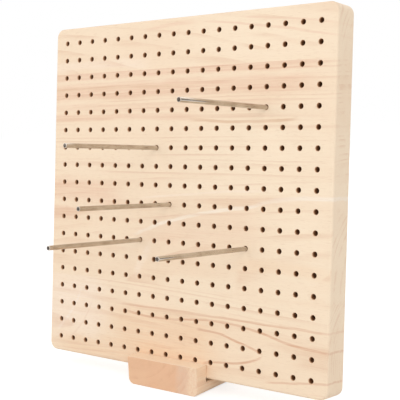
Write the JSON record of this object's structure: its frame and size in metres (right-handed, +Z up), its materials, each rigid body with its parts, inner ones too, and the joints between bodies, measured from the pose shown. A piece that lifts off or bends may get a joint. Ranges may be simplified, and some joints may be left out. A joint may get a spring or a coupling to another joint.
{
  "type": "blocking board",
  "caption": "Square wooden board drilled with a grid of blind holes, with loose steel pins that stand in the holes, leaning back in a slotted wooden foot.",
  "frame": {"origin": "middle of the foot's flat underside", "axes": "+Z up, -Y the way the pins point, +X to the right for someone who looks at the pins' free ends; the board leans back 7 degrees towards +Y"},
  "size_m": [0.235, 0.1282, 0.2418],
  "materials": {
    "board_wood": "fine-sanded pale hardwood, unvarnished",
    "foot_wood": "fine-sanded pale hardwood, unvarnished",
    "pin_steel": "polished stainless steel"
  },
  "bodies": {
    "foot_block": {"foot": "foot_wood"},
    "board": {"top_stave": "board_wood", "upper_stave": "board_wood", "lower_stave": "board_wood", "bottom_stave": "board_wood"},
    "pin_1_body": {"pin_1": "pin_steel"},
    "pin_2_body": {"pin_2": "pin_steel"},
    "pin_3_body": {"pin_3": "pin_steel"},
    "pin_4_body": {"pin_4": "pin_steel"},
    "pin_5_body": {"pin_5": "pin_steel"}
  },
  "joints": [
    {"name": "board_lift", "type": "slide", "parent": "foot_block", "child": "board", "axis": [0, 0.1219, 0.9925], "range_m": [0, 0.02]},
    {"name": "pin_1_pull", "type": "slide", "parent": "board", "child": "pin_1_body", "axis": [0, -0.9949, 0.1007], "range_m": [0, 0.025]},
    {"name": "pin_2_pull", "type": "slide", "parent": "board", "child": "pin_2_body", "axis": [0, -0.9949, 0.1007], "range_m": [0, 0.025]},
    {"name": "pin_3_pull", "type": "slide", "parent": "board", "child": "pin_3_body", "axis": [0, -0.9949, 0.1007], "range_m": [0, 0.025]},
    {"name": "pin_4_pull", "type": "slide", "parent": "board", "child": "pin_4_body", "axis": [0, -0.9949, 0.1007], "range_m": [0, 0.025]},
    {"name": "pin_5_pull", "type": "slide", "parent": "board", "child": "pin_5_body", "axis": [0, -0.9949, 0.1007], "range_m": [0, 0.025]}
  ]
}
